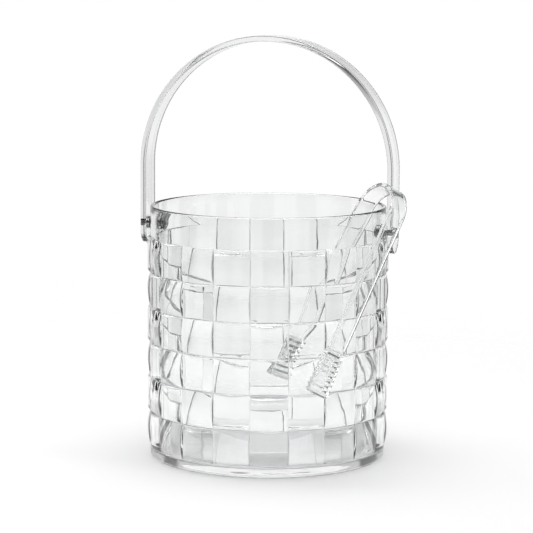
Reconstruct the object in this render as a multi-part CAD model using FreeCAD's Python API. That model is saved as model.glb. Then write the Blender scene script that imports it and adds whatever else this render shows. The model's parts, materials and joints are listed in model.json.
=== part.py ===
import FreeCAD
import Part
import math
import os

# Clear moulded ice bucket with a basket-weave wall, a strip bail handle on two
# side pivots, and a pair of clear tongs parked astride the rim.
# Frame: origin at the centre of the base on the table, +Z up, +X along the
# handle's pivot line (right is +X). The tongs hang on the rim between +X and -Y.
# All lengths in millimetres, angles in degrees.

V = FreeCAD.Vector

OVERCUT = 6.0            # how far cutting and trimming shapes reach past a piece
TOL = 1e-6               # tolerance of the edge selectors

# ---- tub ----
RIM_Z = 197.0
OUTER_R = 92.0           # smooth band and weave grooves
INNER_R = 88.9
FLOOR_T = 6.0
PLINTH_H = 9.0           # plain band below the weave
BASE_ROUND = 2.6         # bottom outer corner
FLOOR_ROUND = 6.0        # between the wall and the floor, inside
RIM_ROUND = 1.2          # both rim edges

# ---- weave ----
COLUMNS = 20
ROWS = 6
COLUMN_ANGLE = 360.0 / COLUMNS
WEAVE_TOP_Z = 172.8
ROW_PITCH = (WEAVE_TOP_Z - PLINTH_H) / ROWS
TILE_GAP = 0.4           # groove between tiles
TILE_HALF_ANGLE = COLUMN_ANGLE / 2 - math.degrees(TILE_GAP / 2 / OUTER_R)
TILE_EDGE_R = OUTER_R + 0.35     # low edges of a tile
TILE_CREST_R = OUTER_R + 2.2     # crest of a tile
TILE_ROOT_R = OUTER_R - 1.2      # back of a tile, inside the wall

# ---- pivots: every x is a distance from the centre along the pivot line ----
PIVOT_Z = 179.5
PIN_R = 3.2
PIN_HOLE_R = PIN_R + 0.05        # in the wall, boss, washer and retainer
HANDLE_HOLE_R = PIN_R + 0.07
BOSS_R = 6.3
BOSS_ROOT_X = INNER_R + 1.4      # where the boss starts, inside the wall
BOSS_FACE_X = 96.2
WASHER_R = 5.3
WASHER_T = 1.3
RETAINER_R = 5.4
RETAINER_T = 3.0
RETAINER_ROUND = 1.0
RETAINER_FACE_X = INNER_R - 0.22             # flat face, just inside the wall
RETAINER_END_X = RETAINER_FACE_X - RETAINER_T

# ---- bail handle ----
HANDLE_T = 4.5
HANDLE_W = 23.0
HANDLE_GAP = 0.2                 # between the washer and the leg
LEG_INNER_X = BOSS_FACE_X + WASHER_T + HANDLE_GAP
LEG_OUTER_X = LEG_INNER_X + HANDLE_T
ARCH_Z = 226.3                   # straight legs meet the half-round arch
LEG_END_Z = 163.0                # lowest point of the half-round leg ends
HANDLE_ROUND = 0.9

# ---- pivot pin ----
PIN_HEAD_R = 4.7
PIN_HEAD_H = 1.5
PIN_HEAD_ROUND = 1.1
PIN_HEAD_X = LEG_OUTER_X + 0.08  # underside of the head, just clear of the leg
PIN_HEAD_OVERLAP = 0.4           # how far the shank runs into the head
PIN_END_X = RETAINER_END_X - 0.9 # tail, showing past the retainer

# ---- tongs ----
TONGS_ORIGIN = V(96.99, -31.27, 196.9)      # centre of the bow's half circle
TONGS_UP = V(0.3570, 0.3039, 0.8833)        # from the tips towards the bow
TONGS_OUT = V(0.7457, -0.6622, -0.0736)     # from the inner arm to the outer arm
BOW_R = 21.0             # centre of the strip in the bow
TONGS_T = 3.2
TONGS_W = 14.8
ARM_LENGTH = 145.0
ARM_SPLAY = 3.1          # angle by which each arm leans out
CROWN_HALF_GAP = 0.1     # half of the slit that parts the halves at the crown
TOOTH_PITCH = 3.9
TOOTH_COUNT = 9
TOOTH_H = 3.0            # crests above the arm's inner face
VALLEY_H = 0.6           # valleys above the arm's inner face
CREST_START = 0.42 * TOOTH_PITCH     # flat crest, measured from the valley
CREST_END = 0.62 * TOOTH_PITCH       # nearer the tip
TOOTH_RUNOUT = 1.5       # slope from the last valley back to the arm
TIP_W = 18.5             # width where the flare ends
TIP_CHAMFER = 2.5
FLARE_LEAD = 4.0         # the flare starts this far before the teeth
TONGS_BLANK_W = 60.0     # extruded width before the outline trims it
TONGS_TRIM_X = 80.0      # half depth of the trimming outline


# ---------------------------------------------------------------- helpers
def arc(start, middle, end):
    return Part.Arc(start, middle, end).toShape()


def polyline(points):
    return [Part.makeLine(a, b) for a, b in zip(points, points[1:])]


def face(edges):
    return Part.Face(Part.Wire(edges))


def revolve(edges, angle=360.0):
    return face(edges).revolve(V(0, 0, 0), V(0, 0, 1), angle)


def turn(shape, angle):
    shape.rotate(V(0, 0, 0), V(0, 0, 1), angle)
    return shape


def polar(radius, angle, z):
    a = math.radians(angle)
    return V(radius * math.cos(a), radius * math.sin(a), z)


def corner(centre_x, centre_z, radius, start, end):
    """Arc in the XZ plane between two angles measured from +X towards +Z."""
    def point(angle):
        a = math.radians(angle)
        return V(centre_x + radius * math.cos(a), 0, centre_z + radius * math.sin(a))
    return arc(point(start), point((start + end) / 2), point(end))


def x_cylinder(radius, x0, x1):
    """Cylinder on the pivot line."""
    low, high = min(x0, x1), max(x0, x1)
    return Part.makeCylinder(radius, high - low, V(low, 0, PIVOT_Z), V(1, 0, 0))


def rounded_disc(radius, flat_x, round_x, rounding):
    """Disc on the pivot line with its rim rounded at round_x."""
    disc = x_cylinder(radius, flat_x, round_x)
    rim = [edge for edge in disc.Edges
           if abs(edge.BoundBox.XMin - round_x) < TOL and edge.BoundBox.XLength < TOL]
    return disc.makeFillet(rounding, rim)


def trim(shape, outline):
    """Part of the shape inside the outline, unwrapped if it comes as a compound."""
    shape = shape.common(outline).removeSplitter()
    if shape.ShapeType == "Compound":
        shape = shape.Solids[0]
    return shape


# ---------------------------------------------------------------- bucket body
def tub_shell():
    base_x = OUTER_R - BASE_ROUND
    rim_outer_x = OUTER_R - RIM_ROUND
    rim_inner_x = INNER_R + RIM_ROUND
    rim_z = RIM_Z - RIM_ROUND
    floor_x = INNER_R - FLOOR_ROUND
    floor_z = FLOOR_T + FLOOR_ROUND
    edges = polyline([V(0, 0, 0), V(base_x, 0, 0)])
    edges.append(corner(base_x, BASE_ROUND, BASE_ROUND, -90, 0))
    edges += polyline([V(OUTER_R, 0, BASE_ROUND), V(OUTER_R, 0, rim_z)])
    edges.append(corner(rim_outer_x, rim_z, RIM_ROUND, 0, 90))
    edges += polyline([V(rim_outer_x, 0, RIM_Z), V(rim_inner_x, 0, RIM_Z)])
    edges.append(corner(rim_inner_x, rim_z, RIM_ROUND, 90, 180))
    edges += polyline([V(INNER_R, 0, rim_z), V(INNER_R, 0, floor_z)])
    edges.append(corner(floor_x, floor_z, FLOOR_ROUND, 0, -90))
    edges += polyline([V(floor_x, 0, FLOOR_T), V(0, 0, FLOOR_T), V(0, 0, 0)])
    return revolve(edges)


def upright_tile(angle, z0, z1):
    """Tile crowned across its width and straight up and down."""
    half = TILE_HALF_ANGLE
    front_a, front_b = polar(TILE_EDGE_R, -half, z0), polar(TILE_EDGE_R, half, z0)
    back_a, back_b = polar(TILE_ROOT_R, -half, z0), polar(TILE_ROOT_R, half, z0)
    section = face([arc(front_a, V(TILE_CREST_R, 0, z0), front_b),
                    Part.makeLine(front_b, back_b),
                    arc(back_b, V(TILE_ROOT_R, 0, z0), back_a),
                    Part.makeLine(back_a, front_a)])
    return turn(section.extrude(V(0, 0, z1 - z0)), angle)


def level_tile(angle, z0, z1):
    """Tile crowned up and down, following the wall around."""
    bottom, top = V(TILE_EDGE_R, 0, z0), V(TILE_EDGE_R, 0, z1)
    section = [arc(bottom, V(TILE_CREST_R, 0, (z0 + z1) / 2), top)]
    section += polyline([top, V(TILE_ROOT_R, 0, z1), V(TILE_ROOT_R, 0, z0), bottom])
    return turn(revolve(section, 2 * TILE_HALF_ANGLE), angle - TILE_HALF_ANGLE)


def weave():
    """Upright and level tiles in a chequer pattern, from the top row down."""
    tiles = []
    for row in range(1, ROWS + 1):
        z1 = WEAVE_TOP_Z - (row - 1) * ROW_PITCH - TILE_GAP / 2
        z0 = WEAVE_TOP_Z - row * ROW_PITCH + TILE_GAP / 2
        for column in range(COLUMNS):
            tile = upright_tile if (column + row) % 2 == 0 else level_tile
            tiles.append(tile(column * COLUMN_ANGLE, z0, z1))
    return tiles


def bucket_body():
    body = tub_shell().fuse(weave())
    for side in (-1, 1):
        body = body.fuse(x_cylinder(BOSS_R, side * BOSS_ROOT_X, side * BOSS_FACE_X))
    for side in (-1, 1):
        body = body.cut(x_cylinder(PIN_HOLE_R, side * (INNER_R - OVERCUT),
                                   side * (BOSS_FACE_X + OVERCUT)))
    return body.removeSplitter()


# ---------------------------------------------------------------- bail handle
def handle_hoop():
    """Square-edged strip: two straight legs and a half-round arch."""
    outer, inner = LEG_OUTER_X, LEG_INNER_X
    y = -HANDLE_W / 2

    def point(x, z):
        return V(x, y, z)
    edges = polyline([point(outer, LEG_END_Z), point(outer, ARCH_Z)])
    edges.append(arc(point(outer, ARCH_Z), point(0, ARCH_Z + outer), point(-outer, ARCH_Z)))
    edges += polyline([point(-outer, ARCH_Z), point(-outer, LEG_END_Z),
                       point(-inner, LEG_END_Z), point(-inner, ARCH_Z)])
    edges.append(arc(point(-inner, ARCH_Z), point(0, ARCH_Z + inner), point(inner, ARCH_Z)))
    edges += polyline([point(inner, ARCH_Z), point(inner, LEG_END_Z),
                       point(outer, LEG_END_Z)])
    return face(edges).extrude(V(0, HANDLE_W, 0))


def bail_handle():
    half_w = HANDLE_W / 2
    end_z = LEG_END_Z + half_w           # centre of the half-round leg ends
    top_z = ARCH_Z + LEG_OUTER_X + OVERCUT
    reach = LEG_OUTER_X + OVERCUT
    outline = polyline([V(-reach, -half_w, end_z), V(-reach, -half_w, top_z),
                        V(-reach, half_w, top_z), V(-reach, half_w, end_z)])
    outline.append(arc(V(-reach, half_w, end_z), V(-reach, 0, LEG_END_Z),
                       V(-reach, -half_w, end_z)))
    hoop = trim(handle_hoop(), face(outline).extrude(V(2 * reach, 0, 0)))

    # round the long edges and the leg ends, but no edge across the thickness
    edges = []
    for edge in hoop.Edges:
        box = edge.BoundBox
        y_span = abs(box.YMin - box.YMax)
        on_side = y_span < TOL and abs(abs(box.YMin) - half_w) < TOL
        on_end = box.ZMax < end_z + TOL and y_span > 1.0 and box.XLength < TOL
        if (on_side or on_end) and edge.Length > HANDLE_T + 0.5:
            edges.append(edge)
    hoop = hoop.makeFillet(HANDLE_ROUND, edges)
    return hoop.cut(x_cylinder(HANDLE_HOLE_R, -reach, reach))


# ---------------------------------------------------------------- pivot metalwork
def pivot_pin(side):
    """Shank with a low head outside the handle leg."""
    shank = x_cylinder(PIN_R, side * PIN_END_X, side * (PIN_HEAD_X + PIN_HEAD_OVERLAP))
    head = rounded_disc(PIN_HEAD_R, side * PIN_HEAD_X,
                        side * (PIN_HEAD_X + PIN_HEAD_H), PIN_HEAD_ROUND)
    return shank.fuse(head).removeSplitter()


def pivot_washer(side):
    """Plain ring between the boss and the handle leg."""
    outer_x = BOSS_FACE_X + WASHER_T
    washer = x_cylinder(WASHER_R, side * BOSS_FACE_X, side * outer_x)
    return washer.cut(x_cylinder(PIN_HOLE_R, side * (BOSS_FACE_X - OVERCUT),
                                 side * (outer_x + OVERCUT)))


def pivot_retainer(side):
    """Push-on ring inside the tub, flat towards the wall and rounded inwards."""
    ring = rounded_disc(RETAINER_R, side * RETAINER_FACE_X,
                        side * RETAINER_END_X, RETAINER_ROUND)
    return ring.cut(x_cylinder(PIN_HOLE_R, side * (RETAINER_END_X - OVERCUT),
                               side * (RETAINER_FACE_X + OVERCUT)))


# ---------------------------------------------------------------- tongs
# Local frame: X from the inner arm to the outer arm, Y across the strip,
# Z towards the bow, origin at the centre of the bow.
def tongs_placement():
    up = V(TONGS_UP)
    up.normalize()
    out = V(TONGS_OUT)
    out = out - up * out.dot(up)
    out.normalize()
    across = up.cross(out)
    return FreeCAD.Placement(FreeCAD.Matrix(
        out.x, across.x, up.x, TONGS_ORIGIN.x,
        out.y, across.y, up.y, TONGS_ORIGIN.y,
        out.z, across.z, up.z, TONGS_ORIGIN.z,
        0, 0, 0, 1))


def tongs_half(side):
    """One half: side is +1 for the outer and -1 for the inner."""
    splay = math.radians(ARM_SPLAY)
    half_t = TONGS_T / 2

    def bow(radius, angle):
        a = math.radians(angle)
        return V(side * radius * math.cos(a), -TONGS_BLANK_W / 2, radius * math.sin(a))

    def arm(distance, offset):
        """Point down the arm, offset outwards from the strip's centre."""
        radius = BOW_R + offset
        return V(side * (radius * math.cos(splay) + distance * math.sin(splay)),
                 -TONGS_BLANK_W / 2,
                 radius * math.sin(splay) - distance * math.cos(splay))

    # the bow runs from the crown slit to where the arm leaves it
    outer, inner = BOW_R + half_t, BOW_R - half_t
    outer_slit = math.degrees(math.acos(CROWN_HALF_GAP / outer))
    inner_slit = math.degrees(math.acos(CROWN_HALF_GAP / inner))
    edges = polyline([bow(inner, inner_slit), bow(outer, outer_slit)])
    edges.append(arc(bow(outer, outer_slit), bow(outer, (outer_slit + ARM_SPLAY) / 2),
                     bow(outer, ARM_SPLAY)))

    # arm, with ridges on its inner face from the tip upwards
    valley, crest = -half_t - VALLEY_H, -half_t - TOOTH_H
    points = [bow(outer, ARM_SPLAY), arm(ARM_LENGTH, half_t), arm(ARM_LENGTH, valley)]
    for i in range(TOOTH_COUNT):
        start = ARM_LENGTH - i * TOOTH_PITCH
        points += [arm(start - CREST_START, crest), arm(start - CREST_END, crest),
                   arm(start - TOOTH_PITCH, valley)]
    teeth_top = ARM_LENGTH - TOOTH_COUNT * TOOTH_PITCH
    points += [arm(teeth_top - TOOTH_RUNOUT, -half_t), bow(inner, ARM_SPLAY)]
    edges += polyline(points)
    edges.append(arc(bow(inner, ARM_SPLAY), bow(inner, (inner_slit + ARM_SPLAY) / 2),
                     bow(inner, inner_slit)))
    blank = face(edges).extrude(V(0, TONGS_BLANK_W, 0))

    # outline across the strip: parallel, then flared to a chamfered tip
    half_w, half_tip = TONGS_W / 2, TIP_W / 2
    tip_z = arm(ARM_LENGTH, 0).z
    right = [(half_w, outer + OVERCUT),
             (half_w, arm(teeth_top - FLARE_LEAD, 0).z if False else
              arm(teeth_top - FLARE_LEAD, 0).z),
             (half_tip, tip_z + TIP_CHAMFER),
             (half_tip - TIP_CHAMFER, tip_z),
             (half_tip - TIP_CHAMFER, tip_z - OVERCUT)]
    left = [(-y, z) for y, z in right]
    outline = polyline([V(-TONGS_TRIM_X, y, z) for y, z in left[:1] + right + left[::-1]])
    solid = trim(blank, face(outline).extrude(V(2 * TONGS_TRIM_X, 0, 0)))
    solid.Placement = tongs_placement()
    return solid


def export(name, shape):
    shape.exportStep("parts/%s.step" % name)


def main():
    os.makedirs("parts", exist_ok=True)
    export("bucket_body", bucket_body())
    export("bail_handle", bail_handle())
    for side, name in ((-1, "left"), (1, "right")):
        export("pivot_pin_" + name, pivot_pin(side))
        export("pivot_washer_" + name, pivot_washer(side))
        export("pivot_retainer_" + name, pivot_retainer(side))
    export("tongs_outer_half", tongs_half(1))
    export("tongs_inner_half", tongs_half(-1))


main()
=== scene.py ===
# A clear plastic bucket with a basket-weave wall, an arched strip handle and a pair of tongs.
# The bucket stands on z = 0 around the Z axis. The handle turns about a line along X, and its
# arch lies in the XZ plane. The tongs lean, in axes taken from their squeeze joint.
# Shapes are worked out in millimetres and stored in metres. The scene is in metres.
import json
import math

import bmesh
import bpy
import numpy as np
from mathutils import Matrix, Vector


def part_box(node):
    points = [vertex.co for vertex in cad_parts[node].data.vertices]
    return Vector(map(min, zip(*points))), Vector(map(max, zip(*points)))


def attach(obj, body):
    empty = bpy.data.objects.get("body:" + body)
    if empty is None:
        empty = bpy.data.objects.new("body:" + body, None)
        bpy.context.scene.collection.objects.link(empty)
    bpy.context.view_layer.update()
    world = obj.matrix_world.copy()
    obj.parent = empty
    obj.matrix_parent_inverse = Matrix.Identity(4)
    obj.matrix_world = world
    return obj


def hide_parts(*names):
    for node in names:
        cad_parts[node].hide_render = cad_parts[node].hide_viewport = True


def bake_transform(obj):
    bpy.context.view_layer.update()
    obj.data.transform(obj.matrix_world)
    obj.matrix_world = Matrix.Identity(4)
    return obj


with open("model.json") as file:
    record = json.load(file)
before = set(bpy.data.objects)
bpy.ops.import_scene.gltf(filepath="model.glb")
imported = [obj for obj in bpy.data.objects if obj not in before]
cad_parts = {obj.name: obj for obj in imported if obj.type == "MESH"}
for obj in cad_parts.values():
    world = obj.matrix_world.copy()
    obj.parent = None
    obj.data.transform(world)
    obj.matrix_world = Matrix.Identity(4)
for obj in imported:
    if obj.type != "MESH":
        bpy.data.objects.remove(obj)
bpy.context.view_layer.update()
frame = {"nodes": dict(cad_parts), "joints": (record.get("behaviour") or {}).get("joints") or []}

scene = bpy.context.scene


# ------------------------------------------------------------------ sizes shared by pieces (mm)
def box_mm(name):
    lo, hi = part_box(name)
    return np.array(lo, float) * 1000.0, np.array(hi, float) * 1000.0


pin_lo, pin_hi = box_mm("pivot_pin_right")
handle_lo, handle_hi = box_mm("bail_handle")
PIVOT_Z = 0.5 * float(pin_lo[2] + pin_hi[2])
LATHE_SIDES = 96


# ------------------------------------------------------------------ mesh helpers
def shade(mesh, sharp_deg=None):
    """Smooth shading, with edges over the given angle marked sharp."""
    mesh.polygons.foreach_set("use_smooth", np.full(len(mesh.polygons), True))
    if sharp_deg is not None:
        mesh.set_sharp_from_angle(angle=math.radians(sharp_deg))
    mesh.update()


def make_mesh(name, verts_mm, faces):
    mesh = bpy.data.meshes.new(name)
    verts = np.asarray(verts_mm, float) * 0.001
    mesh.from_pydata([tuple(p) for p in verts], [], [tuple(int(i) for i in f) for f in faces])
    mesh.validate()
    mesh.update()
    obj = bpy.data.objects.new(name, mesh)
    scene.collection.objects.link(obj)
    shade(mesh)
    return obj


def apply_modifiers(obj):
    graph = bpy.context.evaluated_depsgraph_get()
    mesh = bpy.data.meshes.new_from_object(obj.evaluated_get(graph),
                                           preserve_all_data_layers=True, depsgraph=graph)
    old = obj.data
    obj.modifiers.clear()
    obj.data = mesh
    mesh.name = obj.name
    bpy.data.meshes.remove(old)


def boolean(obj, other, operation):
    """Join or cut obj with other, and remove other."""
    mod = obj.modifiers.new("bool", "BOOLEAN")
    mod.operation = operation
    mod.object = other
    try:
        mod.solver = "MANIFOLD"
    except TypeError:  # guards against a Blender build that has no manifold solver
        mod.solver = "EXACT"
    bpy.context.view_layer.update()
    apply_modifiers(obj)
    bpy.data.objects.remove(other)


def weld(obj, dist_mm=0.002):
    bm = bmesh.new()
    bm.from_mesh(obj.data)
    bmesh.ops.remove_doubles(bm, verts=bm.verts, dist=dist_mm * 0.001)
    bmesh.ops.recalc_face_normals(bm, faces=bm.faces)
    bm.to_mesh(obj.data)
    bm.free()


def bridge(rings):
    """Faces between neighbouring rings of vertex indices. A ring of one index is a pole."""
    faces = []
    for ring, after in zip(rings[:-1], rings[1:]):
        count = max(len(ring), len(after))
        for i in range(count):
            j = (i + 1) % count
            if len(ring) == 1:
                faces.append((ring[0], after[j], after[i]))
            elif len(after) == 1:
                faces.append((ring[i], ring[j], after[0]))
            else:
                faces.append((ring[i], ring[j], after[j], after[i]))
    return faces


def arc(cx, cy, radius, start, end, steps):
    """Points of an arc between two angles in degrees, both ends included."""
    angles = [math.radians(start + (end - start) * i / steps) for i in range(steps + 1)]
    return [(cx + radius * math.cos(a), cy + radius * math.sin(a)) for a in angles]


def setback(radius, dist):
    """How far a rounded corner lies inside its side line, at dist from the end."""
    if dist >= radius:
        return 0.0
    gap = radius - dist
    return radius - math.sqrt(max(radius * radius - gap * gap, 0.0))


def lathe_x(name, profile, side=1):
    """Solid of revolution about the pivot line, from (x, radius) points. side -1 mirrors it."""
    verts, rings = [], []
    for x, radius in profile:
        first = len(verts)
        if radius < 1e-6:
            verts.append((side * x, 0.0, PIVOT_Z))
        else:
            for i in range(LATHE_SIDES):
                a = 2 * math.pi * i / LATHE_SIDES
                verts.append((side * x, radius * math.cos(a), PIVOT_Z + radius * math.sin(a)))
        rings.append(range(first, len(verts)))
    obj = make_mesh(name, verts, bridge(rings))
    weld(obj)
    shade(obj.data, 35)
    return obj


def cut_pin_hole(obj, x_start, x_end, radius, side=1):
    profile = [(x_start, 0), (x_start, radius), (x_end, radius), (x_end, 0)]
    boolean(obj, lathe_x("hole_tmp", profile, side), "DIFFERENCE")


def loft(name, stations, sharp_deg):
    """Skin sections placed at (centre, across, thick, section), and cap both ends.
    A section lists (across, thick) points, the same number at every station."""
    verts = []
    size = len(stations[0][3])
    for centre, across, thick, section in stations:
        centre, across, thick = np.array(centre), np.array(across), np.array(thick)
        for x, y in section:
            verts.append(centre + across * x + thick * y)
    last = (len(stations) - 1) * size
    faces = bridge([range(i, i + size) for i in range(0, last + 1, size)])
    for first in (0, last):
        verts.append(np.mean(verts[first:first + size], 0))
        middle = len(verts) - 1
        for i in range(size):
            j = (i + 1) % size
            edge = (first + j, first + i) if first == 0 else (first + i, first + j)
            faces.append((*edge, middle))
    obj = make_mesh(name, verts, faces)
    weld(obj)
    shade(obj.data, sharp_deg)
    return obj


# ------------------------------------------------------------------ the tub (mm)
RIM_Z = float(box_mm("bucket_body")[1][2])
BOSS_X = float(box_mm("pivot_washer_right")[0][0])  # outer face of the pivot boss
OUT_R, IN_R = 92.0, 88.9              # wall at the bottom of the weave grooves, and inside
FOOT_ROUND, RIM_ROUND = 2.6, 1.5
FLOOR_Z, FLOOR_ROUND = 6.0, 6.0       # inside floor, and its fillet to the wall
BOSS_R, BOSS_ROUND = 6.3, 0.8
TUB_HOLE_R = 3.25

COLS, ROWS = 20, 6                    # weave tiles round the wall and up it
WEAVE_LO, WEAVE_HI = 9.0, 172.8
HALF_W = math.pi * OUT_R / COLS       # half a tile, round the wall
HALF_H = (WEAVE_HI - WEAVE_LO) / ROWS / 2
RISE, END_RISE = 2.2, 0.22            # strand over the groove, mid tile and at its ends
# distances from a tile's border where the mesh has a line
NEAR = [0.0, 0.12, 0.34, 0.62, 0.95, 1.35, 1.9, 3.2, 5.4, 8.6]


def tile_lines(half, dists):
    """Mesh lines across one tile. Its last border belongs to the next tile."""
    left = [-half + x for x in dists]
    return left + [0.0] + [-x for x in reversed(left)][:-1]


def shoulder(dist, width):
    """Quarter-round drop from the tile's face (1) to the groove (0)."""
    t = np.clip(dist / width, 0.0, 1.0)
    return np.sqrt(np.clip(1.0 - (1.0 - t) ** 2, 0.0, 1.0))


def weave_rise(across, column, row, along):
    """Rise over the groove on the mesh line at height along in a tile row (row 1 at the top).
    Tiles are arched round the wall and up it by turns."""
    side_gap = HALF_W - np.abs(across)
    end_gap = HALF_H - abs(along)
    level = (column + row) % 2 == 0
    s = np.where(level, np.abs(across) / HALF_W, abs(along) / HALF_H)
    crest = END_RISE + (RISE - END_RISE) * (1 - s ** 2)
    rise = (crest * shoulder(side_gap, 0.22 + 0.42 * crest)
            * shoulder(end_gap, 0.22 + 0.74 * crest))
    rise[(side_gap < 1e-6) | (end_gap < 1e-6)] = 0.0
    return rise


def tub_profile(across, column):
    """(radius, z) from the middle of the underside, up the outside and down the inside.
    In the weave the radius is an array, one value per column of vertices."""
    profile = [(0.0, 0.0), (30.0, 0.0), (60.0, 0.0), (84.0, 0.0)]
    profile += arc(OUT_R - FOOT_ROUND, FOOT_ROUND, FOOT_ROUND, -90, 0, 7)
    profile += [(OUT_R, z) for z in (4.4, 7.2, 8.6)]
    for row in range(ROWS, 0, -1):
        middle = WEAVE_HI - (row - 0.5) * 2 * HALF_H
        for along in tile_lines(HALF_H, NEAR + [11.6]):
            profile.append((OUT_R + weave_rise(across, column, row, along), middle + along))
    profile += [(OUT_R, z) for z in (WEAVE_HI, WEAVE_HI + 0.5, 176.0, 183.0, 190.0)]
    profile += arc(OUT_R - RIM_ROUND, RIM_Z - RIM_ROUND, RIM_ROUND, 0, 90, 8)
    profile += arc(IN_R + RIM_ROUND, RIM_Z - RIM_ROUND, RIM_ROUND, 90, 180, 8)
    profile += [(IN_R, z) for z in (190.0, 175.0, 150.0, 120.0, 90.0, 60.0, 35.0)]
    profile += arc(IN_R - FLOOR_ROUND, FLOOR_Z + FLOOR_ROUND, FLOOR_ROUND, 0, -90, 9)
    return profile + [(60.0, FLOOR_Z), (30.0, FLOOR_Z), (0.0, FLOOR_Z)]


def build_tub():
    lines = tile_lines(HALF_W, NEAR + [12.2])
    angle = np.array([math.radians(360.0 / COLS * k) + u / OUT_R
                      for k in range(COLS) for u in lines])
    across = np.array(lines * COLS)
    column = np.array([k for k in range(COLS) for _ in lines])

    blocks, rings, total = [], [], 0
    for radius, z in tub_profile(across, column):
        if np.all(radius == 0.0):
            block = np.array([[0.0, 0.0, z]])
        else:
            block = np.stack([radius * np.cos(angle), radius * np.sin(angle),
                              np.full(len(angle), z)], 1)
        blocks.append(block)
        rings.append(range(total, total + len(block)))
        total += len(block)
    obj = make_mesh("tub_shell", np.concatenate(blocks), bridge(rings))

    # pivot bosses with a rounded outer edge, and the pin holes through them
    root_x = IN_R + 1.3
    boss = [(root_x, 0.0), (root_x, BOSS_R)]
    boss += arc(BOSS_X - BOSS_ROUND, BOSS_R - BOSS_ROUND, BOSS_ROUND, 90, 0, 6)
    boss += [(BOSS_X, 0.0)]
    for side in (-1, 1):
        boolean(obj, lathe_x("boss_tmp", boss, side), "UNION")
    for side in (-1, 1):
        cut_pin_hole(obj, IN_R - 8, BOSS_X + 8, TUB_HOLE_R, side)
    weld(obj, 0.0005)  # vertices that the cuts left on top of each other
    shade(obj.data, 38)
    return obj


# ------------------------------------------------------------------ the handle (mm)
HANDLE_X = float(handle_hi[0])        # outer face of the legs
HANDLE_HALF_W = float(handle_hi[1])
HANDLE_END_Z = float(handle_lo[2])
HANDLE_HALF_T = 4.5 / 2
HANDLE_R = HANDLE_X - HANDLE_HALF_T   # centre line of the arch
ARCH_Z = float(handle_hi[2]) - HANDLE_X
HANDLE_EDGE = 1.15                    # rounding of the strip's edges
HANDLE_HOLE_R = 3.27
ARCH_STEPS = 420
# where the round end has its stations, in degrees from its tip
END_ANGLES = (6, 14, 22, 30, 38, 46, 54, 62, 70, 78, 84, 90)


def round_section(half_w, half_t, radius):
    """Rounded rectangle with extra points along its two wide faces."""
    radius = min(radius, 0.499 * (half_t + half_t))
    flats = 8
    x, y = half_w - radius, half_t - radius
    points = []
    for s in (1, -1):  # the outer face, then the inner one
        turn = 0 if s > 0 else 180
        points += arc(s * x, s * y, radius, turn, turn + 90, 5)
        points += [(s * (x - 2 * x * i / flats), s * half_t) for i in range(1, flats)]
        points += arc(-s * x, s * y, radius, turn + 90, turn + 180, 5)
    return points


def leg_stations(side):
    """Stations of one straight leg, from its round end up."""
    round_z = HANDLE_END_Z + HANDLE_HALF_W
    heights = [HANDLE_END_Z + HANDLE_HALF_W * (1 - math.cos(math.radians(a)))
               for a in END_ANGLES]
    heights += list(np.linspace(round_z + 2.0, ARCH_Z - 2.0, 26))
    stations = []
    for z in heights:
        half_w = HANDLE_HALF_W
        if z < round_z:
            half_w = math.sqrt(max(HANDLE_HALF_W * HANDLE_HALF_W - (round_z - z) ** 2, 0.0))
        # the end is eased in thickness too, so that its edge is rounded all the way round
        half_t = HANDLE_HALF_T - setback(HANDLE_EDGE, z - HANDLE_END_Z)
        section = round_section(half_w, half_t, min(HANDLE_EDGE, half_w * 0.9))
        stations.append(((side * HANDLE_R, 0.0, z), (0.0, 1.0, 0.0), (side, 0.0, 0.0), section))
    return stations


def build_handle():
    stations = leg_stations(1.0)
    section = round_section(HANDLE_HALF_W, HANDLE_HALF_T, HANDLE_EDGE)
    for i in range(ARCH_STEPS + 1):
        a = math.pi * i / ARCH_STEPS
        c, s = math.cos(a), math.sin(a)
        stations.append(((HANDLE_R * c, 0.0, ARCH_Z + HANDLE_R * s),
                         (0.0, 1.0, 0.0), (c, 0.0, s), section))
    stations += leg_stations(-1.0)[::-1]
    obj = loft("bail_strip", stations, 40)
    cut_pin_hole(obj, HANDLE_X + 9, -HANDLE_X - 9, HANDLE_HOLE_R)
    shade(obj.data, 38)
    return obj


# ------------------------------------------------------------------ the tongs (mm)
BOW_R = 21.0                          # centre line of the bow
TONGS_HALF_T = 1.6
ARM_LEN = 145.0
SPLAY = math.radians(3.1)             # each arm opens by this much
BOW_STEPS = 120
ARM_HALF_W, TIP_HALF_W = 7.4, 9.25
TONGS_EDGE = 0.55                     # rounding of the strip's edges
LIP_H, LIP_W = 0.55, 1.7              # raised lips along the edges of the outer face
TIP_CORNER, TIP_EASE = 2.2, 0.5       # tip rounding, in width and in thickness
TOOTH_PITCH, TOOTH_COUNT, TOOTH_H = 3.9, 9, 3.0
TEETH_START = ARM_LEN - TOOTH_PITCH * TOOTH_COUNT
# one tooth: (place along the pitch, height)
TOOTH = [(0.0, 0.6), (0.42, TOOTH_H - 0.22), (0.455, TOOTH_H - 0.06), (0.50, TOOTH_H),
         (0.545, TOOTH_H - 0.06), (0.58, TOOTH_H - 0.22)]
# past the teeth: (distance along the arm, height)
TIP = [(ARM_LEN - 0.45, 0.75), (ARM_LEN - 0.12, 0.55), (ARM_LEN, 0.2)]


def tongs_axes():
    """Bow centre, and the axes up, out (to the outer arm) and side (across the strip).
    The squeeze joint lies on the inner face of the crown, with its axis across the strip."""
    joint = next(q for q in frame["joints"] if q["name"] == "tongs_squeeze")
    side = Vector(joint["axis"]).normalized()
    joint_pos = Vector(joint["pos_m"]) * 1000.0
    up = Vector((0.3570, 0.3039, 0.8833))
    up = (up - side * up.dot(side)).normalized()
    out = side.cross(up).normalized()
    return joint_pos - up * (BOW_R - TONGS_HALF_T), up, out, side


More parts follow.
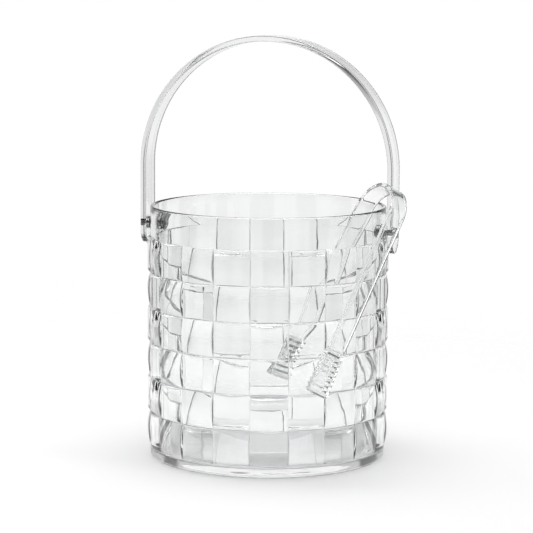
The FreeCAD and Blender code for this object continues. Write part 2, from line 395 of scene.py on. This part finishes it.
def tongs_section(half_w, inner, outer, lip):
    """Strip section from -inner to outer in thickness. lip scales the raised lips, 0 to 1."""
    r, steps = TONGS_EDGE, 8
    floor_y = outer - LIP_H * lip     # recessed middle of the outer face
    lip_x = half_w - LIP_W
    foot_x = lip_x - 0.9
    lip_points = [(lip_x + 0.35, outer), (lip_x, outer - 0.12 * lip),
                  (lip_x - 0.45, floor_y + 0.06 * lip), (foot_x, floor_y)]
    points = arc(half_w - r, outer - r, r, 0, 90, 5) + lip_points
    points += [(foot_x * (1 - 2 * i / steps), floor_y) for i in range(1, steps)]
    points += [(-x, y) for x, y in reversed(lip_points)]
    points += arc(-half_w + r, outer - r, r, 90, 180, 5)
    points += arc(-half_w + r, -inner + r, r, 180, 270, 5)
    points += [((-half_w + r) + 2 * (half_w - r) * i / steps, -inner) for i in range(1, steps)]
    points += arc(half_w - r, -inner + r, r, 270, 360, 5)
    return points


def arm_steps():
    """(distance along the arm, tooth height) of every station."""
    steps = [(2.0 + i * (TEETH_START - 6.0) / 34.0, 0.0) for i in range(35)]
    steps.append((TEETH_START - 1.5, 0.0))
    start = TEETH_START
    for _ in range(TOOTH_COUNT):
        steps += [(start + place * TOOTH_PITCH, height) for place, height in TOOTH]
        start += TOOTH_PITCH
    return steps + TIP


def arm_half_width(dist):
    widen = TEETH_START - 6.0
    f = min(max((dist - widen) / (ARM_LEN - widen), 0.0), 1.0)
    f = f * f * (3 - 2 * f)
    return ARM_HALF_W + (TIP_HALF_W - ARM_HALF_W) * f


def build_tongs():
    centre, up, out, side = tongs_axes()
    across = np.array(side)
    cos_s, sin_s = math.cos(SPLAY), math.sin(SPLAY)

    def station(x, z, thick_x, thick_z, section):
        return (np.array(centre + out * x + up * z), across,
                np.array(out * thick_x + up * thick_z), section)

    def arm(s):
        """Stations from the bow to the tip; s is 1 for the outer arm, -1 for the inner."""
        stations = []
        for dist, tooth in arm_steps():
            end = ARM_LEN - dist
            fade = min(max((TEETH_START + 8 - dist) / 8.0, 0.35), 1.0)
            section = tongs_section(arm_half_width(dist) - setback(TIP_CORNER, end),
                                    TONGS_HALF_T + tooth,
                                    TONGS_HALF_T - setback(TIP_EASE, end),
                                    min(dist / 10.0, 1.0) * fade)
            stations.append(station(s * (BOW_R * cos_s + sin_s * dist),
                                    BOW_R * sin_s - cos_s * dist, s * cos_s, sin_s, section))
        return stations

    bow = []
    for i in range(BOW_STEPS + 1):
        a = SPLAY + (math.pi - 2 * SPLAY) * i / BOW_STEPS
        c, s = math.cos(a), math.sin(a)
        section = tongs_section(ARM_HALF_W, TONGS_HALF_T, TONGS_HALF_T, 0.0)
        bow.append(station(BOW_R * c, BOW_R * s, c, s, section))
    obj = loft("tongs_strip", arm(1)[::-1] + bow + arm(-1), 42)
    crown = (centre + up * BOW_R) * 0.001
    return obj, crown, out


# ------------------------------------------------------------------ node helpers
def feed(tree, target, sockets):
    """Fill inputs by name or index: a socket is linked, anything else is set as the value."""
    for key, value in sockets.items():
        if isinstance(value, bpy.types.NodeSocket):
            tree.links.new(value, target.inputs[key])
        else:
            target.inputs[key].default_value = value


def add(tree, kind, sockets=None, **props):
    made = tree.nodes.new(kind)
    for prop, value in props.items():
        setattr(made, prop, value)
    feed(tree, made, sockets or {})
    return made


def noise(tree, vector, scale, detail, distortion=0.0):
    return add(tree, "ShaderNodeTexNoise", {"Vector": vector, "Scale": scale, "Detail": detail,
                                            "Distortion": distortion}).outputs["Fac"]


def stretch(tree, vector, scale, rotation=(0.0, 0.0, 0.0)):
    return add(tree, "ShaderNodeMapping", {"Vector": vector, "Scale": scale,
                                           "Rotation": rotation}).outputs["Vector"]


def remap(tree, value, from_min=0.0, from_max=1.0, to_min=0.0, to_max=1.0, **props):
    return add(tree, "ShaderNodeMapRange",
               {"Value": value, "From Min": from_min, "From Max": from_max,
                "To Min": to_min, "To Max": to_max}, **props).outputs["Result"]


def bump(tree, height, distance, strength):
    return add(tree, "ShaderNodeBump", {"Height": height, "Distance": distance,
                                        "Strength": strength}).outputs["Normal"]


def mix_colors(tree, factor, first, second):
    return add(tree, "ShaderNodeMix", {0: factor, 6: (*first, 1), 7: (*second, 1)},
               data_type="RGBA").outputs[2]


def mix_shaders(tree, factor, first, second):
    return add(tree, "ShaderNodeMixShader",
               {0: factor, 1: first.outputs[0], 2: second.outputs[0]})


def calc(tree, operation, *values):
    return add(tree, "ShaderNodeMath", dict(enumerate(values)), operation=operation).outputs[0]


def new_material(name):
    """Material, its tree, output node, principled node and object coordinates."""
    mat = bpy.data.materials.new(name)
    mat.use_nodes = True
    tree = mat.node_tree
    tree.nodes.clear()
    output = add(tree, "ShaderNodeOutputMaterial")
    surface = add(tree, "ShaderNodeBsdfPrincipled")
    coords = add(tree, "ShaderNodeTexCoord").outputs["Object"]
    return mat, tree, output, surface, coords


# ------------------------------------------------------------------ materials
def scuffed(tree, coords, surface, amount):
    """Fine rub marks on the underside, where the piece stands."""
    z = add(tree, "ShaderNodeSeparateXYZ", {0: coords}).outputs["Z"]
    low = remap(tree, z, from_min=0.0001, from_max=0.0003, to_min=1.0, to_max=0.0)
    streaks = noise(tree, stretch(tree, coords, scale=(900.0, 60.0, 60.0),
                                  rotation=(0.0, 0.0, 0.6)), scale=1.0, detail=3.0)
    marks = remap(tree, streaks, from_min=0.35, from_max=0.65,
                  to_min=0.4 * amount, to_max=1.6 * amount)
    white = add(tree, "ShaderNodeBsdfDiffuse", {"Color": (0.9, 0.9, 0.9, 1)})
    return mix_shaders(tree, calc(tree, "MULTIPLY", low, marks), surface, white)


def clear_plastic(name, ripple, rough_max, scuff=0.0):
    """ripple is the depth of the surface waves in metres, scuff the strength of rub marks."""
    mat, tree, output, surface, coords = new_material(name)
    color = mix_colors(tree, noise(tree, coords, scale=14.0, detail=3.0),
                       first=(0.985, 0.99, 0.99), second=(0.96, 0.968, 0.968))
    rough = remap(tree, noise(tree, coords, scale=60.0, detail=4.0),
                  from_min=0.45, from_max=0.8, to_max=rough_max)
    waves = noise(tree, coords, scale=38.0, detail=1.5, distortion=0.6)
    feed(tree, surface, {"IOR": 1.49, "Transmission Weight": 1.0, "Base Color": color,
                         "Roughness": rough,
                         "Normal": bump(tree, waves, distance=ripple, strength=1.0)})
    # lamps reach what is behind the clear wall, a little weaker near its silhouette
    is_shadow = add(tree, "ShaderNodeLightPath").outputs["Is Shadow Ray"]
    facing = add(tree, "ShaderNodeLayerWeight", {"Blend": 0.35}).outputs["Facing"]
    shadow = mix_colors(tree, facing, first=(0.80, 0.805, 0.81), second=(0.25, 0.255, 0.26))
    passing = add(tree, "ShaderNodeBsdfTransparent", {"Color": shadow})
    body = scuffed(tree, coords, surface, scuff) if scuff > 0 else surface
    feed(tree, output,
         {"Surface": mix_shaders(tree, is_shadow, body, passing).outputs[0]})
    return mat


def dark_metal(name):
    """Dark metal with a grain drawn out along X."""
    mat, tree, output, surface, coords = new_material(name)
    grain = noise(tree, stretch(tree, coords, scale=(60.0, 900.0, 900.0)),
                  scale=3.0, detail=5.0)
    ramp = add(tree, "ShaderNodeValToRGB", {"Fac": grain})
    dark, light = ramp.color_ramp.elements
    dark.position, dark.color = 0.3, (0.16, 0.16, 0.165, 1)
    light.position, light.color = 0.75, (0.36, 0.355, 0.35, 1)
    feed(tree, surface, {"Metallic": 1.0, "Base Color": ramp.outputs["Color"],
                         "Roughness": remap(tree, grain, to_min=0.18, to_max=0.42),
                         "Normal": bump(tree, grain, distance=0.00002, strength=0.5)})
    feed(tree, output, {"Surface": surface.outputs[0]})
    return mat


def black_nylon(name):
    mat, tree, output, surface, coords = new_material(name)
    grain = noise(tree, coords, scale=900.0, detail=3.0)
    color = mix_colors(tree, grain, first=(0.018, 0.018, 0.02), second=(0.05, 0.05, 0.054))
    feed(tree, surface, {"Base Color": color,
                         "Roughness": remap(tree, grain, to_min=0.32, to_max=0.55),
                         "Normal": bump(tree, grain, distance=0.00003, strength=0.6)})
    feed(tree, output, {"Surface": surface.outputs[0]})
    return mat


def white_floor(name):
    """Matt white that fades out to transparent with the distance from the middle."""
    mat, tree, output, surface, coords = new_material(name)
    feed(tree, surface, {"Base Color": (0.93, 0.93, 0.93, 1), "Roughness": 0.6,
                         "Specular IOR Level": 0.1})
    dist = add(tree, "ShaderNodeVectorMath", {0: coords}, operation="LENGTH").outputs["Value"]
    fade = remap(tree, dist, from_min=0.22, from_max=0.75, interpolation_type="SMOOTHSTEP")
    clear = add(tree, "ShaderNodeBsdfTransparent")
    feed(tree, output, {"Surface": mix_shaders(tree, fade, surface, clear).outputs[0]})
    return mat


def assign(obj, mat):
    obj.data.materials.clear()
    obj.data.materials.append(mat)


def assign_cad(name, mat):
    for slot in frame["nodes"][name].material_slots:
        slot.link = "OBJECT"
        slot.material = mat


# ------------------------------------------------------------------ the pieces
tub_mat = clear_plastic("clear_tub", ripple=0.00009, rough_max=0.015, scuff=0.06)
bail_mat = clear_plastic("clear_bail", ripple=0.000012, rough_max=0.012)
tongs_mat = clear_plastic("clear_tongs", ripple=0.000015, rough_max=0.012)
pin_mat = dark_metal("pin_metal")
washer_mat = black_nylon("washer_nylon")

tub = build_tub()
assign(tub, tub_mat)
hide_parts("bucket_body")
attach(tub, "bucket")

bail = build_handle()
assign(bail, bail_mat)
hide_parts("bail_handle")
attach(bail, "handle")

tongs, crown_pos, tongs_out = build_tongs()
assign(tongs, tongs_mat)
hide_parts("tongs_outer_half", "tongs_inner_half")
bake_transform(tongs)

for pin_side in ("left", "right"):
    assign_cad("pivot_pin_" + pin_side, pin_mat)
    assign_cad("pivot_retainer_" + pin_side, pin_mat)
    assign_cad("pivot_washer_" + pin_side, washer_mat)


# ------------------------------------------------------------------ floor (m)
def build_floor(radius=0.95, sides=96, drop=0.0002):
    """A disc just under the bucket."""
    mesh = bpy.data.meshes.new("floor")
    angles = [2 * math.pi * i / sides for i in range(sides)]
    mesh.from_pydata([(radius * math.cos(a), radius * math.sin(a), 0) for a in angles],
                     [], [tuple(range(sides))])
    floor = bpy.data.objects.new("floor", mesh)
    floor.location = (0, 0, -drop)
    scene.collection.objects.link(floor)
    assign(floor, white_floor("floor_white"))


build_floor()

# ------------------------------------------------------------------ world
WALL_LEVEL = 0.87      # brightness of the white walls
GAP_LEVEL = 0.13       # the dark gaps between them
LEAST_LEVEL = 0.05     # nothing is darker than this
OVERHEAD_LEVEL = 1.7
# the backdrop behind the bucket: (azimuth in degrees, level); 0 is +Y, growing towards -X
BACKDROP = [(-23, 0.0), (-17, 1.0), (3, 1.0), (7, 1.1), (29, 1.1), (33, 0.97), (46, 0.97),
            (52, 0.0)]
# the walls and the light overhead: (elevation in degrees, level)
WALLS = [(-90, 0.35), (-40, 0.5), (-22, 0.86), (-12, 0.93), (-5, 1.0), (7, 1.0), (13, 0.6),
         (20, 0.18), (46, 0.10), (52, 0.0), (90, 0.0)]
OVERHEAD = [(-90, 0.0), (44, 0.0), (54, 0.85), (62, 1.0), (90, 1.0)]


def azimuth_place(deg):
    return (deg + 180.0) / 360.0


def elevation_place(deg):
    return 0.5 + 0.5 * math.sin(math.radians(deg))


def level_ramp(tree, factor, table, place, scale=1.0):
    """Grey ramp through a table of (degrees, level); place turns degrees into 0 to 1."""
    ramp = add(tree, "ShaderNodeValToRGB", {"Fac": factor})
    ramp.color_ramp.interpolation = "EASE"
    stops = [(place(deg), (level, level, level, 1)) for deg, level in table]
    elements = ramp.color_ramp.elements
    elements[0].position, elements[1].position = stops[0][0], stops[-1][0]
    elements[0].color, elements[1].color = stops[0][1], stops[-1][1]
    for position, color in stops[1:-1]:
        elements.new(position).color = color
    return calc(tree, "MULTIPLY", ramp.outputs["Color"], scale)


def build_world():
    world = bpy.data.worlds.new("studio")
    scene.world = world
    world.use_nodes = True
    tree = world.node_tree
    tree.nodes.clear()
    output = add(tree, "ShaderNodeOutputWorld")
    background = add(tree, "ShaderNodeBackground", {"Color": (1, 1, 1, 1)})
    coords = add(tree, "ShaderNodeTexCoord").outputs["Generated"]
    direction = add(tree, "ShaderNodeSeparateXYZ", {0: coords}).outputs

    # by azimuth: eight white walls with dark gaps, and the wider, brightest backdrop
    minus_x = calc(tree, "MULTIPLY", direction["X"], -1.0)
    azimuth = calc(tree, "ARCTAN2", minus_x, direction["Y"])
    turn = calc(tree, "MULTIPLY_ADD", azimuth, 1.0 / (2.0 * math.pi), 0.5)
    lobes = calc(tree, "COSINE", calc(tree, "MULTIPLY", azimuth, 8.0))
    lobes = remap(tree, lobes, from_min=-0.34, from_max=0.15, to_min=GAP_LEVEL, to_max=0.97,
                  interpolation_type="SMOOTHSTEP")
    ring = calc(tree, "MAXIMUM", lobes, level_ramp(tree, turn, BACKDROP, azimuth_place))

    # by height: the walls, a darker room above them, and a wide soft light overhead
    height = calc(tree, "MULTIPLY_ADD", direction["Z"], 0.5, 0.5)
    walls = level_ramp(tree, height, WALLS, elevation_place)
    overhead = level_ramp(tree, height, OVERHEAD, elevation_place, OVERHEAD_LEVEL)
    walls = calc(tree, "MULTIPLY", calc(tree, "MULTIPLY", ring, WALL_LEVEL), walls)
    room = calc(tree, "MAXIMUM", calc(tree, "ADD", walls, overhead), LEAST_LEVEL)

    # the far backdrop seen directly stays white
    is_camera = add(tree, "ShaderNodeLightPath").outputs["Is Camera Ray"]
    strength = add(tree, "ShaderNodeMix", {0: is_camera, 2: room, 3: 1.0}, data_type="FLOAT")
    feed(tree, background, {"Strength": strength.outputs[0]})
    feed(tree, output, {"Surface": background.outputs[0]})


build_world()


# ------------------------------------------------------------------ lamps (m)
def area(name, place, aim_z, width, height, watts, see_through=True):
    """Rectangular lamp aimed at the Z axis. see_through shows it through clear plastic."""
    light = bpy.data.lights.new(name, "AREA")
    light.shape = "RECTANGLE"
    light.size, light.size_y = width, height
    light.energy = watts
    lamp = bpy.data.objects.new(name, light)
    lamp.location = place
    lamp.rotation_mode = "QUATERNION"
    lamp.rotation_quaternion = (Vector((0, 0, aim_z)) - Vector(place)).to_track_quat("-Z", "Y")
    lamp.visible_camera = False
    lamp.visible_transmission = see_through
    scene.collection.objects.link(lamp)
    return lamp


area("key_left", place=(-1.42, 0.30, 0.80), aim_z=0.15, width=1.3, height=1.0, watts=6.6,
     see_through=False)
area("fill_right", place=(1.7, -0.4, 1.2), aim_z=0.12, width=0.4, height=1.4, watts=4)
area("top_soft", place=(0.0, 0.05, 1.95), aim_z=0.1, width=0.95, height=0.95, watts=8.5)

# two panels, over the camera and to its left, only for the long bright edges of the tongs
strips = bpy.data.collections.new("strips")
strips.objects.link(tongs)
edge_lamps = (
    area("edge_front", place=(0.32, -1.83, 0.90), aim_z=0.15, width=1.2, height=0.8, watts=5.5),
    area("edge_left", place=(-1.25, -0.59, 0.95), aim_z=0.15, width=1.1, height=0.9, watts=4.8),
)
for edge_lamp in edge_lamps:
    edge_lamp.light_linking.receiver_collection = strips

# ------------------------------------------------------------------ camera (m, radians)
CAM_TURN = math.radians(17.3)         # round the Z axis, from -Y towards +X
CAM_DIST, CAM_HEIGHT, CAM_SHIFT = 1.7624, 0.3914, -0.00125  # the shift is to the camera's right
CAM_TILT, CAM_ROLL = 0.137, 0.0053    # the tilt is downwards
turn_cos, turn_sin = math.cos(CAM_TURN), math.sin(CAM_TURN)

cam_data = bpy.data.cameras.new("cam")
cam_data.sensor_width = 36.0
cam_data.lens = 153.6706942
cam_data.clip_start, cam_data.clip_end = 0.05, 60.0
cam = bpy.data.objects.new("cam", cam_data)
scene.collection.objects.link(cam)
cam.location = (CAM_SHIFT * turn_cos + CAM_DIST * turn_sin,
                CAM_SHIFT * turn_sin - CAM_DIST * turn_cos, CAM_HEIGHT)
forward = Vector((-turn_sin * math.cos(CAM_TILT), turn_cos * math.cos(CAM_TILT),
                  -math.sin(CAM_TILT)))
cam.rotation_mode = "QUATERNION"
cam.rotation_quaternion = (forward.to_track_quat("-Z", "Y")
                           @ Matrix.Rotation(CAM_ROLL, 3, "Z").to_quaternion())
scene.camera = cam

# ------------------------------------------------------------------ render settings
scene.view_settings.view_transform = "Standard"
scene.view_settings.look = "None"
scene.view_settings.exposure = 0.0
scene.cycles.max_bounces = 24
scene.cycles.transmission_bounces = 24
scene.cycles.glossy_bounces = 8
scene.cycles.diffuse_bounces = 4
scene.cycles.transparent_max_bounces = 32
scene.cycles.use_denoising = True
